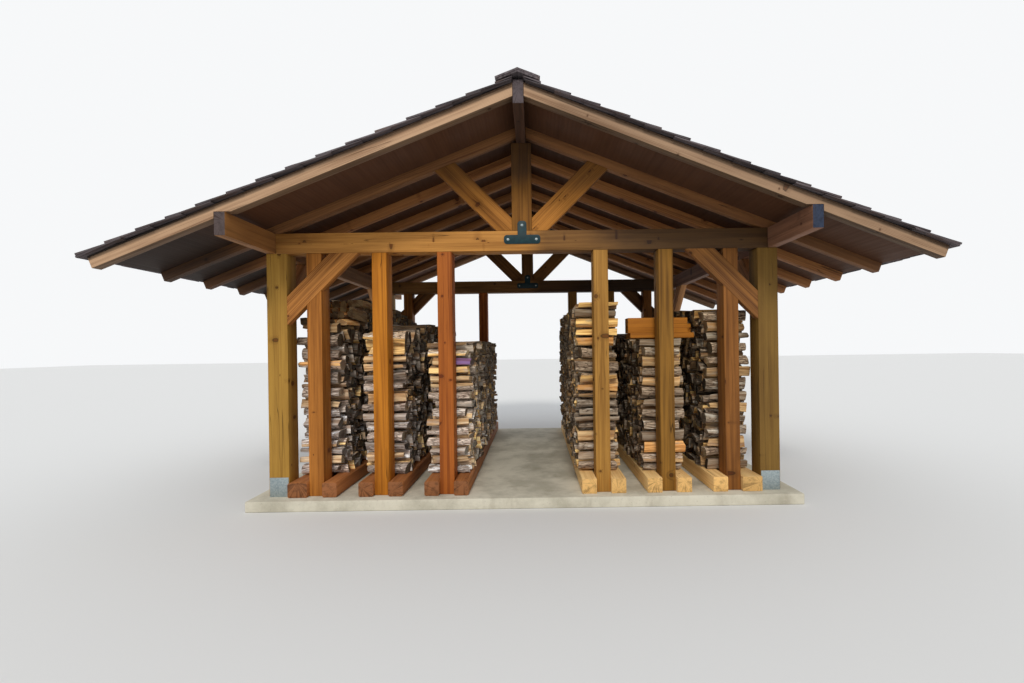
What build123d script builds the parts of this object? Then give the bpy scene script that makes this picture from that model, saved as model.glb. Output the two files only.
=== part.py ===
from build123d import *
import math
import os

os.makedirs("parts", exist_ok=True)

# Log store: an open timber frame on a concrete slab, 12 ft deep and 16 ft wide between the
# outsides of its corner posts, with two king post trusses under a gabled shake roof.
# Three racks of split firewood stand on each side of a central aisle.
# Millimetres, Z up, the open gable front faces -Y, the underside of the slab is at Z = 0.

INCH = 25.4

# Surfaced sizes of the sawn timber
T4 = 3.5 * INCH
T6 = 5.5 * INCH
T8 = 7.5 * INCH

# Frame
FRAME_W = 192 * INCH          # outsides of the corner posts, across the gable
FRAME_D = 144 * INCH          # outsides of the corner posts, front to rear
HALF_W = FRAME_W / 2
HALF_D = FRAME_D / 2
SLAB_T = 100                  # concrete slab
SLAB_MARGIN = 150             # slab beyond the corner posts
TIE_UNDER = 2316              # slab top to the underside of the tie beams
POST_IN = HALF_W - T8         # inner face of a corner post, across
POST_BACK = HALF_D - T8       # inner face of a corner post, front to rear
Z_FLOOR = SLAB_T
Z_TIE = Z_FLOOR + TIE_UNDER
Z_TIE_TOP = Z_TIE + T8
EAVE_IN = HALF_W - T4         # inner face of an eave beam

# Steel saddles under the corner posts
BASE_T = 5
BASE_CHEEK_W = 178
BASE_CHEEK_H = 178

# Tee plates at the feet of the king posts
TEE_T = 6
TEE_BAR = 348                 # length of the bar
TEE_W = 86                    # width of bar and leg
TEE_LEG = 133                 # leg above the bar
TEE_DROP = 41                 # top of the bar below the top of the tie beam
TEE_R = 30                    # rounded corners

# Braces and struts, all 8 in wide at 45 degrees
KNEE_LEG = 680                # corner to the far end of a knee brace
KNEE_IN = KNEE_LEG - T8 * math.sqrt(2)
STRUT_SEAT = 149              # seat of a strut on the tie beam
STRUT_HEEL = T8 * math.sqrt(2) - STRUT_SEAT

# Roof
SLOPE = 4.75 / 12
PITCH = math.atan(SLOPE)
NOTCH = 54                    # rafters let down over the outer face of an eave beam
Z_APEX = Z_TIE_TOP - NOTCH + SLOPE * HALF_W   # the rafters' undersides, run on to the centre
RIDGE_DROP = 76               # underside of the ridge beam below that point
Z_RIDGE = Z_APEX - RIDGE_DROP
GABLE = 30 * INCH             # roof frame beyond the trusses
EAVE_RUN = 973                # lower corner of a rafter tail beyond the eave beam
RAFTER_BAYS = 6               # equal spaces of rafters between the trusses
DECK_T = 12.7
SHAKE_BUTT = 36               # thickness of the shakes at the lower edge of a course
SHAKE_LOW = 20                # and where the next course starts
SHAKE_EAVE = 50               # shakes beyond the rafter tails
SHAKE_GABLE = 50              # shakes beyond the fly rafters
SHAKE_COURSES = 14
TOP_COURSE = 150              # flat top course under the ridge cap, along the slope
CAP_T = 32
CAP_X = 158                   # lower edge of the ridge cap from the centre
CAP_GABLE = 58                # ridge cap beyond the fly rafters

# Racks, counted from the left: the distances of their posts from the centre
AISLE_SHARE = 0.306           # centre to the innermost posts, as a share of half the frame
SIDE_GAP = 258                # centres of the outermost posts from the corner posts
RACK_INNER = AISLE_SHARE * HALF_W
RACK_OUTER = POST_IN - SIDE_GAP
RACK_MIDDLE = (RACK_INNER + RACK_OUTER) / 2
RACK_X = (-RACK_OUTER, -RACK_MIDDLE, -RACK_INNER, RACK_INNER, RACK_MIDDLE, RACK_OUTER)
RAIL_OUT = 50                 # rails beyond the outsides of the posts
RAIL_GAP = 2                  # outermost rails clear of the corner posts
RAIL_ROUND = {"left": 20, "right": 7}   # long edges: worn timber left, newer timber right

# Firewood: how far each stack sits off its posts, to the right, and its heights above the
# slab at even steps from its front to its rear
LOG_LENGTH = 480
LOG_SAG = 22                  # how far the outer logs bulge from a straight line
LOG_PITCH = 145
STACK_GAP = 2                 # between the end logs and the posts
STACK_SHIFTS = (-45, -30, -3, -12, 18, 30)
STACK_TOPS = (
    (1640, 1960, 2000, 1960, 1880, 1870),
    (1560, 1690, 1715, 1740),
    (1450, 1480, 1490, 1470),
    (1840, 1815, 1830, 1865),
    (1470, 1470, 1560, 1610),
    (1740, 1820, 1820, 1790),
)

# Timber left on top of the fifth stack: two boards, a long offcut on them and a short one behind.
# Each spans a share of the room between the taller stacks beside it.
TOP_BOARD_T = 50
TOP_BOARD_W = 140
BOARD_GAP = 12
BOARD_SPAN = (0.114, 0.908)
OFFCUT_SIDE = 6 * INCH
OFFCUT_SPAN = (0.084, 0.829)
SHORT_SPAN = (0.517, 0.989)
OFFCUT_Y = 40                 # boards behind the front of the stack


def save(name, *solids):
    """Writes one named node, of one solid or of several that don't touch."""
    shape = solids[0] if len(solids) == 1 else Compound(children=list(solids))
    export_step(shape, f"parts/{name}.step")


def box(x0, x1, y0, y1, z0, z1):
    return Pos((x0 + x1) / 2, (y0 + y1) / 2, (z0 + z1) / 2) * Box(
        abs(x1 - x0), abs(y1 - y0), abs(z1 - z0)
    )


def plate_xz(points, y0, y1):
    """A flat piece: its outline in X and Z, from y0 to y1."""
    face = Face(Wire.make_polygon([Vector(x, y0, z) for x, z in points], close=True))
    return extrude(face, amount=y1 - y0, dir=(0, 1, 0))


def plate_yz(points, x0, x1):
    face = Face(Wire.make_polygon([Vector(x0, y, z) for y, z in points], close=True))
    return extrude(face, amount=x1 - x0, dir=(1, 0, 0))


def other_side(solid):
    return mirror(solid, about=Plane.YZ)


def other_end(solid):
    return mirror(solid, about=Plane.XZ)


def roof_point(u, w):
    """A point of the right slope: u down along it from the centre line, w square above the
    plane of the rafters' undersides."""
    return (
        u * math.cos(PITCH) + w * math.sin(PITCH),
        Z_APEX - u * math.sin(PITCH) + w * math.cos(PITCH),
    )


def plumb(x, w):
    """The point of the right slope at the distance x from the centre and the height w."""
    return roof_point((x - w * math.sin(PITCH)) / math.cos(PITCH), w)


# Slab and post bases
slab = box(
    -HALF_W - SLAB_MARGIN, HALF_W + SLAB_MARGIN,
    -HALF_D - SLAB_MARGIN, HALF_D + SLAB_MARGIN, 0, Z_FLOOR,
)
save("slab", slab)

corner_x = HALF_W - T8 / 2
corner_y = HALF_D - T8 / 2
cheek_top = Z_FLOOR + BASE_T + BASE_CHEEK_H


def post_base(cx, cy):
    sole = box(cx - T8 / 2, cx + T8 / 2, cy - T8 / 2, cy + T8 / 2, Z_FLOOR, Z_FLOOR + BASE_T)
    half = BASE_CHEEK_W / 2
    for side in (-1, 1):
        face = cy + side * T8 / 2
        sole += box(cx - half, cx + half, face, face + side * BASE_T, Z_FLOOR, cheek_top)
    return sole


save("post_bases", *[post_base(sx * corner_x, sy * corner_y) for sx in (-1, 1) for sy in (-1, 1)])

# Corner posts
for end, sy in (("front", -1), ("rear", 1)):
    for side, sx in (("left", -1), ("right", 1)):
        save(
            f"corner_post_{end}_{side}",
            box(sx * POST_IN, sx * HALF_W, sy * POST_BACK, sy * HALF_D, Z_FLOOR + BASE_T, Z_TIE),
        )

# Knee braces: flush with the outsides of the frame, from the posts up to the beams
knee = ((0, -KNEE_IN), (0, -KNEE_LEG), (KNEE_LEG, 0), (KNEE_IN, 0))
knee_xz = [(POST_IN - run, Z_TIE + drop) for run, drop in knee]
knee_yz = [(-POST_BACK + run, Z_TIE + drop) for run, drop in knee]
knee_front_right = plate_xz(knee_xz, -HALF_D, -HALF_D + T4)
knee_front = (other_side(knee_front_right), knee_front_right)
save("knee_braces_front", *knee_front)
save("knee_braces_rear", *[other_end(k) for k in knee_front])
side_front_right = plate_yz(knee_yz, EAVE_IN, HALF_W)
side_right = (side_front_right, other_end(side_front_right))
save("side_braces_right", *side_right)
save("side_braces_left", *[other_side(s) for s in side_right])

# Rack posts: a front and a rear one to each rack, the outer ones notched round the braces
for number, x in enumerate(RACK_X, 1):
    front = box(x - T6 / 2, x + T6 / 2, -HALF_D, -POST_BACK, Z_FLOOR, Z_TIE)
    for brace in knee_front:
        front -= brace
    save(f"rack_posts_{number}", front, other_end(front))

# Rails: one on each side of the posts, the outermost ones filling up to the corner posts
rail_y = HALF_D + RAIL_OUT
rails = {"left": [], "right": []}
for x in RACK_X:
    for sx in (-1, 1):
        inner = x + sx * T6 / 2
        outer = inner + sx * T6
        if abs(outer) > abs(RACK_X[0]):
            outer = sx * (POST_IN - RAIL_GAP)
        side = "left" if x < 0 else "right"
        rail = box(inner, outer, -rail_y, rail_y, Z_FLOOR, Z_FLOOR + T6)
        rails[side].append(fillet(rail.edges().filter_by(Axis.Y), RAIL_ROUND[side]))
for side, pieces in rails.items():
    save(f"rack_rails_{side}", *pieces)

# Trusses: tie beam between the eave beams, king post, two struts, tee plates on both faces
tie_beam = box(-EAVE_IN, EAVE_IN, -HALF_D, -POST_BACK, Z_TIE, Z_TIE_TOP)
king_post = box(-T8 / 2, T8 / 2, -HALF_D, -POST_BACK, Z_TIE_TOP, Z_RIDGE)


def strut_top(x, z):
    """Where a 45 degree line from (x, z) meets the rafters' undersides."""
    rise = (Z_APEX - SLOPE * x - z) / (1 + SLOPE)
    return (x + rise, z + rise)


king_x = T8 / 2
strut = plate_xz(
    [
        (king_x, Z_TIE_TOP),
        (king_x + STRUT_SEAT, Z_TIE_TOP),
        strut_top(king_x + STRUT_SEAT, Z_TIE_TOP),
        strut_top(king_x, Z_TIE_TOP + STRUT_HEEL),
        (king_x, Z_TIE_TOP + STRUT_HEEL),
    ],
    -HALF_D, -HALF_D + T4,
)
struts = (other_side(strut), strut)

bar_top = Z_TIE_TOP - TEE_DROP


def tee_plate(y0, y1):
    bar = box(-TEE_BAR / 2, TEE_BAR / 2, y0, y1, bar_top - TEE_W, bar_top)
    leg = box(-TEE_W / 2, TEE_W / 2, y0, y1, bar_top - TEE_W, bar_top + TEE_LEG)
    plate = bar + leg
    ends = [
        edge for edge in plate.edges().filter_by(Axis.Y)
        if abs(edge.center().X) > TEE_W or edge.center().Z > bar_top + TEE_W
    ]
    return fillet(ends, TEE_R)


tees = (tee_plate(-HALF_D - TEE_T, -HALF_D), tee_plate(-POST_BACK, -POST_BACK + TEE_T))
save("tie_beam_front", tie_beam)
save("tie_beam_rear", other_end(tie_beam))
save("king_post_front", king_post)
save("king_post_rear", other_end(king_post))
save("struts_front", *struts)
save("struts_rear", *[other_end(s) for s in struts])
save("tee_plates", *tees, *[other_end(t) for t in tees])

# Eave beams and ridge beam, run out to the gables
roof_y = HALF_D + GABLE
eave_beam = box(EAVE_IN, HALF_W, -roof_y, roof_y, Z_TIE, Z_TIE_TOP)
save("eave_beam_right", eave_beam)
save("eave_beam_left", other_side(eave_beam))
save("ridge_beam", box(-T4 / 2, T4 / 2, -roof_y, roof_y, Z_RIDGE, Z_RIDGE + T8))

# Rafters: plumb cut on the ridge beam, notched over the eave beam, square cut tail
tail_u = (HALF_W + EAVE_RUN) / math.cos(PITCH)
seat_x = (Z_APEX - Z_TIE_TOP) / SLOPE
rafter_outline = [
    plumb(T4 / 2, 0),
    (seat_x, Z_TIE_TOP),
    (HALF_W, Z_TIE_TOP),
    plumb(HALF_W, 0),
    roof_point(tail_u, 0),
    roof_point(tail_u, T4),
    plumb(T4 / 2, T4),
]


def rafter(y0):
    return plate_xz(rafter_outline, y0, y0 + T4)


bay = (FRAME_D - T4) / RAFTER_BAYS
common = [rafter(-HALF_D + i * bay) for i in range(RAFTER_BAYS + 1)]
save("rafters_right", *common)
save("rafters_left", *[other_side(r) for r in common])
fly = rafter(-roof_y)
fly_front = (other_side(fly), fly)
save("fly_rafters_front", *fly_front)
save("fly_rafters_rear", *[other_end(f) for f in fly_front])

# Deck and shakes: each course rises to a thick lower edge, and the top one lies flat
deck_w = T4 + DECK_T
deck = plate_xz(
    [
        plumb(T4 / 2, T4), roof_point(tail_u, T4),
        roof_point(tail_u, deck_w), plumb(T4 / 2, deck_w),
    ],
    -roof_y, roof_y,
)
save("deck_right", deck)
save("deck_left", other_side(deck))

eave_u = tail_u + SHAKE_EAVE
exposure = (eave_u - TOP_COURSE) / SHAKE_COURSES
outline = [plumb(T4 / 2, deck_w), roof_point(eave_u, deck_w)]
for course in range(SHAKE_COURSES):
    butt_u = eave_u - course * exposure
    outline.append(roof_point(butt_u, deck_w + SHAKE_BUTT))
    outline.append(roof_point(butt_u - exposure, deck_w + SHAKE_LOW))
outline.append(roof_point(TOP_COURSE, deck_w + SHAKE_BUTT))
outline.append(plumb(T4 / 2, deck_w + SHAKE_BUTT))
shake_y = roof_y + SHAKE_GABLE
shakes = plate_xz(outline, -shake_y, shake_y)
save("shakes_right", shakes)
save("shakes_left", other_side(shakes))

cap_w = deck_w + SHAKE_BUTT
cap_u = (CAP_X - cap_w * math.sin(PITCH)) / math.cos(PITCH)
cap_right = [
    plumb(0, cap_w), roof_point(cap_u, cap_w),
    roof_point(cap_u, cap_w + CAP_T), plumb(0, cap_w + CAP_T),
]
cap_left = [(-x, z) for x, z in reversed(cap_right[1:3])]
cap_y = roof_y + CAP_GABLE
save("ridge_cap", plate_xz(cap_right + cap_left, -cap_y, cap_y))


# Firewood: a stack is one solid, its top and ends a row of log sides
def bulged(start, end, count):
    """Arcs from start to end in Y and Z that bulge to the left of the way."""
    (y0, z0), (y1, z1) = start, end
    length = math.hypot(y1 - y0, z1 - z0)
    normal = (-(z1 - z0) / length, (y1 - y0) / length)
    arcs = []
    for i in range(count):
        a, m, b = ((i + step) / count for step in (0, 0.5, 1))
        at = [(y0 + (y1 - y0) * t, z0 + (z1 - z0) * t) for t in (a, m, b)]
        middle = (at[1][0] + normal[0] * LOG_SAG, at[1][1] + normal[1] * LOG_SAG)
        arcs.append((at[0], middle, at[2]))
    return arcs


stack_front = -POST_BACK + STACK_GAP
rail_top = Z_FLOOR + T6
for number, (x, shift, tops) in enumerate(zip(RACK_X, STACK_SHIFTS, STACK_TOPS), 1):
    x0 = x + shift - LOG_LENGTH / 2
    low, high = stack_front + LOG_SAG, -stack_front - LOG_SAG
    stations = [low + (high - low) * i / (len(tops) - 1) for i in range(len(tops))]
    crest = [(y, Z_FLOOR + top - LOG_SAG) for y, top in zip(stations, tops)]
    arcs = bulged((low, rail_top), crest[0], round((crest[0][1] - rail_top) / LOG_PITCH))
    for a, b in zip(crest, crest[1:]):
        arcs += bulged(a, b, round((b[0] - a[0]) / LOG_PITCH))
    arcs += bulged(crest[-1], (high, rail_top), round((crest[-1][1] - rail_top) / LOG_PITCH))
    edges = [
        Edge.make_three_point_arc(*[Vector(x0, y, z) for y, z in arc]) for arc in arcs
    ]
    edges.append(Edge.make_line(Vector(x0, high, rail_top), Vector(x0, low, rail_top)))
    stack = extrude(Face(Wire(edges)), amount=LOG_LENGTH, dir=(1, 0, 0))
    save(f"firewood_{number}", stack)

# Timber on the fifth stack
beside_left = RACK_INNER + STACK_SHIFTS[3] + LOG_LENGTH / 2
room = RACK_OUTER + STACK_SHIFTS[5] - LOG_LENGTH / 2 - beside_left
fifth_top = Z_FLOOR + STACK_TOPS[4][0]
board_y = stack_front + OFFCUT_Y
board_step = TOP_BOARD_W + BOARD_GAP


def laid(span, y, width, z, height):
    """A timber that lies across the racks, between the stacks beside it."""
    x0, x1 = (beside_left + share * room for share in span)
    return box(x0, x1, y, y + width, z, z + height)


boards = [
    laid(BOARD_SPAN, board_y + i * board_step, TOP_BOARD_W, fifth_top, TOP_BOARD_T) for i in (0, 1)
]
long_offcut = laid(OFFCUT_SPAN, board_y, OFFCUT_SIDE, fifth_top + TOP_BOARD_T, OFFCUT_SIDE)
short_offcut = laid(SHORT_SPAN, board_y + 2 * board_step, OFFCUT_SIDE, fifth_top, OFFCUT_SIDE)
save("loose_boards", *boards)
save("squared_offcuts", long_offcut, short_offcut)
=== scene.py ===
# %% [markdown]
# This is a log store, dressed for a render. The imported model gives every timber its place.
# This file turns those plain solids into sawn pine, split shakes, steel plates and split
# firewood, one kind of piece at a time.

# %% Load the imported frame
import math
import random

import bmesh
import bpy
from mathutils import Matrix, Vector, noise


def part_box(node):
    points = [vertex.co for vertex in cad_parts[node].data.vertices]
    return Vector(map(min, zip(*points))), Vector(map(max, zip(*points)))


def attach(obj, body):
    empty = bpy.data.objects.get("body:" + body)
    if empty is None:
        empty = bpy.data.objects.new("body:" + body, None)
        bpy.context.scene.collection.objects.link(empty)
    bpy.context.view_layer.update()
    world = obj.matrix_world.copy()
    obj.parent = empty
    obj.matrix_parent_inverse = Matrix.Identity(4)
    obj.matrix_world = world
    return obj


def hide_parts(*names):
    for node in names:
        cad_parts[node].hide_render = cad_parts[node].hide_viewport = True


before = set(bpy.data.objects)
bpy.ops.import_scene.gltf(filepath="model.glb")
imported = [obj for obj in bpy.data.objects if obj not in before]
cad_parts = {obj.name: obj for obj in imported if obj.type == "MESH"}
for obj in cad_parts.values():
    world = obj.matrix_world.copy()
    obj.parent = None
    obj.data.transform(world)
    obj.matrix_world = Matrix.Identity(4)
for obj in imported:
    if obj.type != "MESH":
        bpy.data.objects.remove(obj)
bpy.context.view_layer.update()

# %% [markdown]
# Colours are written as a screen shows them, from 0 to 255, because that is how they are read
# and compared. Blender works in linear light, so one small function turns one into the other.

# %% Colours


def colour(red, green, blue):
    """A screen colour as linear light with full cover."""
    def linear(value):
        value = value / 255
        return value / 12.92 if value <= 0.04045 else ((value + 0.055) / 1.055) ** 2.4

    return (linear(red), linear(green), linear(blue), 1.0)


def deeper(tone, *shares):
    """A colour with its red, green and blue cut to the shares given."""
    return (*(value * share for value, share in zip(tone, shares)), 1.0)


print("mid grey is", [round(v, 3) for v in colour(128, 128, 128)])

# %% [markdown]
# A material is a small net of nodes. Drawing one by hand takes many lines that all say the
# same, so a helper adds a node and joins its inputs in one call. What it hands back is an
# output that takes the signs of arithmetic, so that a net reads like the sum it works out.

# %% Outputs that can be used in sums


class Value:
    """An output of a node, which can be used in sums like a number."""

    def __init__(self, net, socket):
        self.net = net
        self.socket = socket

    def __add__(self, other):
        return self.net.sum("ADD", self, other)

    def __sub__(self, other):
        return self.net.sum("SUBTRACT", self, other)

    def __mul__(self, other):
        return self.net.sum("MULTIPLY", self, other)

    def __truediv__(self, other):
        return self.net.sum("DIVIDE", self, other)

    def __abs__(self):
        return self.net.sum("ABSOLUTE", self)

    def toward(self, other, share):
        """This value where share is 0, and the other where it is 1."""
        return self + self.net.sum("SUBTRACT", other, self) * share


print("outputs ready")

# %% [markdown]
# The net has one short method for each kind of node that this scene uses again and again, so
# that a texture, a soft step or a mix of two colours takes one line.

# %% A helper for node trees


class Net:
    """Adds nodes to a tree. An input is a plain value or the output of another node."""

    def __init__(self, tree):
        self.tree = tree

    def add(self, kind, inputs=None, **settings):
        """A new node with its inputs joined or set."""
        made = self.tree.nodes.new(kind)
        for name, value in settings.items():
            setattr(made, name, value)
        for key, value in (inputs or {}).items():
            if isinstance(value, Value):
                self.tree.links.new(value.socket, made.inputs[key])
            else:
                made.inputs[key].default_value = value
        return made

    def out(self, kind, inputs=None, output=0, **settings):
        """One output of a new node."""
        return Value(self, self.add(kind, inputs, **settings).outputs[output])

    def outs(self, kind, inputs=None, **settings):
        """All the outputs of a new node, by name."""
        sockets = self.add(kind, inputs, **settings).outputs
        return {socket.name: Value(self, socket) for socket in sockets}

    def sum(self, operation, *values):
        return self.out("ShaderNodeMath", dict(enumerate(values)), operation=operation)

    def vector(self, x, y=0.0, z=0.0):
        return self.out("ShaderNodeCombineXYZ", {0: x, 1: y, 2: z})

    def parts(self, whole, kind="ShaderNodeSeparateXYZ"):
        return self.outs(kind, {0: whole}).values()

    def scaled(self, vector, *by):
        return self.out("ShaderNodeVectorMath", {0: vector, 1: by}, operation="MULTIPLY")

    def noise(self, vector, scale, detail=2.0, rough=0.5):
        """Cloudy noise from 0 to 1. Three scales stretch it, one for each axis."""
        if isinstance(scale, tuple):
            vector = self.scaled(vector, *scale)
            scale = 1.0
        inputs = {"Vector": vector, "Scale": scale, "Detail": detail, "Roughness": rough}
        return self.out("ShaderNodeTexNoise", inputs)

    def cells(self, vector, scale, feature="F1"):
        return self.outs("ShaderNodeTexVoronoi", {"Vector": vector, "Scale": scale}, feature=feature)

    def ease(self, value, low, high, start=0.0, end=1.0):
        """Turns a value from low to high into start to end, softly, and holds it there."""
        inputs = {0: value, 1: low, 2: high, 3: start, 4: end}
        return self.out("ShaderNodeMapRange", inputs, interpolation_type="SMOOTHSTEP")

    def lines(self, cloud, thin, wide):
        """Hairlines along the places where a noise crosses its middle."""
        return self.ease(abs(cloud - 0.5), thin, wide, 1.0, 0.0)

    def blend(self, share, one, other, how="MIX"):
        inputs = {0: share, 6: one, 7: other}
        return self.out("ShaderNodeMix", inputs, 2, data_type="RGBA", blend_type=how)

    def tinted(self, base, by):
        """A colour times another colour or a number."""
        return self.blend(1.0, base, by, "MULTIPLY")

    def read(self, name, output="Fac"):
        return self.out("ShaderNodeAttribute", output=output, attribute_name=name)

    def place(self):
        return self.out("ShaderNodeTexCoord", output="Object")


print("node helper ready")

# %% [markdown]
# Every finish starts from Blender's main shader. What is the same all over a surface is set on
# the shader itself, and only colour, roughness and relief come from the net. The relief is
# bump, because grain and pores are far finer than any mesh of a building could be.

# %% The start of a finish


class Finish(Net):
    """The net of a new material. Sockets are fixed values of its main shader."""

    def __init__(self, name, **sockets):
        self.made = bpy.data.materials.new(name)
        self.made.use_nodes = True
        super().__init__(self.made.node_tree)
        self.shader = self.tree.nodes["Principled BSDF"]
        for key, value in sockets.items():
            self.shader.inputs[key.replace("_", " ")].default_value = value

    def surface(self, base, rough, height, depth):
        """Joins colour, roughness and relief to the shader. Depth is in metres."""
        bump = self.out("ShaderNodeBump", {"Strength": 1.0, "Distance": depth, "Height": height})
        for key, value in (("Base Color", base), ("Roughness", rough), ("Normal", bump)):
            self.tree.links.new(value.socket, self.shader.inputs[key])
        return self.made


print("finishes ready")

# %% [markdown]
# Sawn pine shows the tree it came from. Every timber here carries three numbers at each
# point: how far along the tree it is, and how far out from the heart in two directions.
# Rings are circles round the heart, so one rule gives straight lines on one face, arches on
# the next and round rings on the ends. A picture of planks could be wrapped round each timber
# instead, but it would not meet itself at the edges and would repeat from post to post.

# %% Places in a tree


def tree_place(net, grain):
    """Where a point lies in its tree: along it, at which angle round the heart and how far out."""
    along, y, z = net.parts(grain)
    flat = net.scaled(grain, 0, 1, 1)
    out = net.out("ShaderNodeVectorMath", {0: flat}, "Value", operation="LENGTH")
    return along, net.sum("ARCTAN2", z, y), out


print("places in a tree ready")

# %% [markdown]
# The fly rafters at the gables stand in the weather, which bleaches only what it reaches. Their
# bleached faces could be a finish of their own, but then brown would meet pale in a hard line.
# So a rule says how much weather and light get to each point, from the way it faces and how
# close it lies under the shakes. The strip under the shakes and the undersides are kept darker.
# This is partly wood that the sun never bleached and partly painted shade: the shadow of the
# shakes' rim and the dark underneath. It needs the measures of the roof: rafters 3.5 inches
# deep, half an inch of plywood and a slope of 4.75 in 12.

# %% Weather and painted shade at the gables
T4 = 3.5 * 0.0254
SLOPE_ANGLE = math.atan(4.75 / 12)
DECK_W = T4 + 0.0127
deck_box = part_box("deck_right")
APEX_Z = deck_box[1].z + T4 / 2 * math.tan(SLOPE_ANGLE) - DECK_W / math.cos(SLOPE_ANGLE)


def weather_and_shade_on(net, at):
    """How much weather and light reach a timber at the rim of the roof: all on the outer face, less
    along its top, where the shakes stand over it, and none underneath. Where less reaches, the
    finish keeps the wood unbleached and also paints shade."""
    _, facing, _ = net.parts(net.out("ShaderNodeNewGeometry", output="True Normal"))
    x, _, z = net.parts(at)
    height = (abs(x) * math.tan(SLOPE_ANGLE) + z - APEX_Z) * math.cos(SLOPE_ANGLE)
    weather_and_light = net.ease(height, T4 - 0.036, T4 - 0.016, 1.0, 0.3)
    return weather_and_light * net.ease(abs(facing), 0.5, 0.9)


print("slope in degrees:", round(math.degrees(SLOPE_ANGLE), 2))

# %% [markdown]
# Knots are what is left of branches, and they push the rings aside. They could be dots on the
# surface, but a real knot runs in from the face, so here each is a rod from the heart outwards.
# The cells of a Voronoi texture, laid along the tree and round it, hold one rod each, and
# chance leaves most of the cells without.

# %% Knots
KNOT_SPACING = 2.4
KNOT_TURN = 0.9
KNOT_LEAST = 0.0045
KNOT_MORE = 0.016
NO_KNOT = 99.0


def knots_of(net, along, around, out, rarity):
    """Distance to the nearest knot, in knot radii. Knots are branches, so they run straight out
    from the heart and show round on one face and as a spike on the next."""
    cell = net.cells(net.vector(along * KNOT_SPACING, around * KNOT_TURN), 1.0)
    x, y, _ = net.parts(cell["Position"])
    luck, girth, _ = net.parts(cell["Color"], "ShaderNodeSeparateColor")
    past = along - x / KNOT_SPACING
    aside = (around - y / KNOT_TURN) * out
    radius = girth * girth * KNOT_MORE + KNOT_LEAST
    far = net.sum("SQRT", past * past + aside * aside) / radius
    return net.sum("LESS_THAN", luck, rarity) * NO_KNOT + far


print("knots ready")

# %% [markdown]
# One finish puts these together on every timber: pale wood between darker rings and fibres,
# knots with a dark rim, long checks that drying opens, and saw cuts that show the rings. Darker
# places lie over all of it. Most are painted shade, where the roof or a tree keeps the light
# off, and the rest make the wood darker towards one end.

# %% Sawn timber finish
# The dark colour of painted shade and of darker wood.
SHADE_AND_DAMP_TONE = colour(33, 28, 25)


def timber_finish(name, pale, deep, end_tone, ring=0.008, rarity=0.72, checks=0.56, figure=1.0,
                  damp=(), bleached_and_shaded=False):
    """Figure is how strongly the grain shows. The darker places come as a list, each an axis,
    where the dark starts and is full, and its strength there. Most of them are painted shade,
    where the roof or a tree keeps the light off, and the rest darken the wood towards one end. A
    bleached timber keeps its old brown where no weather reaches it, and this also paints the
    shade under the shakes' rim and underneath."""
    pale, deep, end_tone = (colour(*tone) for tone in (pale, deep, end_tone))
    net = Finish(name, Specular_IOR_Level=0.2)
    grain = net.read("grain", "Vector")
    along, around, out = tree_place(net, grain)
    far = knots_of(net, along, around, out, rarity)
    near = net.ease(far, 1.0, 3.5, 1.0, 0.0)
    rim = net.ease(abs(far - 1.0), 0.0, 0.35, 1.0, 0.0)
    reach = net.noise(grain, (0.45, 5, 5)) * 0.035 + near * 0.012 + out
    rings = net.sum("SINE", reach * (2 * math.pi / ring))
    rings = net.sum("POWER", rings * 0.5 + 0.5, 2.2)
    fibre = net.noise(grain, (5, 160, 160), 3.0, 0.6)
    streak = net.noise(grain, (0.7, 24, 24), 3.0, 0.6)
    cloud = net.noise(grain, (1.1, 4, 4), 4.0, 0.6)
    depth = (rings * 0.27 + fibre * 0.26 + net.ease(streak, 0.38, 0.7, 0.0, 0.42)) * figure
    base = net.blend(depth + net.ease(cloud, 0.4, 0.7, 0.0, 0.2), pale, deep)
    base = net.blend(near * 0.5, base, deep)
    base = net.blend(net.ease(far, 0.7, 1.0, 0.85, 0.0), base, deeper(deep, 0.6, 0.42, 0.3))
    dark = deeper(deep, 0.22, 0.22, 0.22)
    base = net.blend(rim * 0.8, base, dark)
    check = net.lines(net.noise(grain, (0.55, 17, 17), 1.0, 0.4), 0.002, 0.008)
    check = check * net.ease(net.noise(grain, (1.53, 8.5, 8.5), 1.0), checks, checks + 0.05)
    base = net.blend(check * 0.7, base, dark)
    spoke = net.lines(net.noise(net.vector(around * 2.5, along), 1.0, 1.0), 0.0, 0.03)
    blotch = net.noise(grain, (9, 22, 22), 4.0, 0.65)
    aged = rings * 0.35 + net.ease(blotch, 0.45, 0.7, 0.0, 0.6)
    cut = net.blend(aged, end_tone, deeper(end_tone, 0.4, 0.4, 0.4))
    cut = net.blend(spoke * 0.6, cut, dark)
    base = net.blend(net.read("end_face"), base, cut)
    base = net.tinted(base, net.read("tone") * 0.4 + 0.8)
    at = net.place()
    # Painted shade: each listed place is darkened, mostly where the roof or a tree keeps the light off.
    for axis, start, full, strength in damp:
        spot = list(net.parts(at))[axis] + (cloud - 0.5) * abs(full - start)
        base = net.blend(net.ease(spot, start, full, 0.0, strength), base, SHADE_AND_DAMP_TONE)
    # Painted shade along with unbleached wood: the strip under the shakes and the underside are
    # darkened to about a third.
    if bleached_and_shaded:
        base = net.tinted(base, net.ease(weather_and_shade_on(net, at), 0.0, 1.0, 0.36, 1.0))
    height = fibre * 0.5 + rings * 0.25 - check * 1.6 - rim * 0.4
    return net.surface(base, streak * 0.2 + 0.56, height, 0.0016)


print("timber finish ready")
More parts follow.
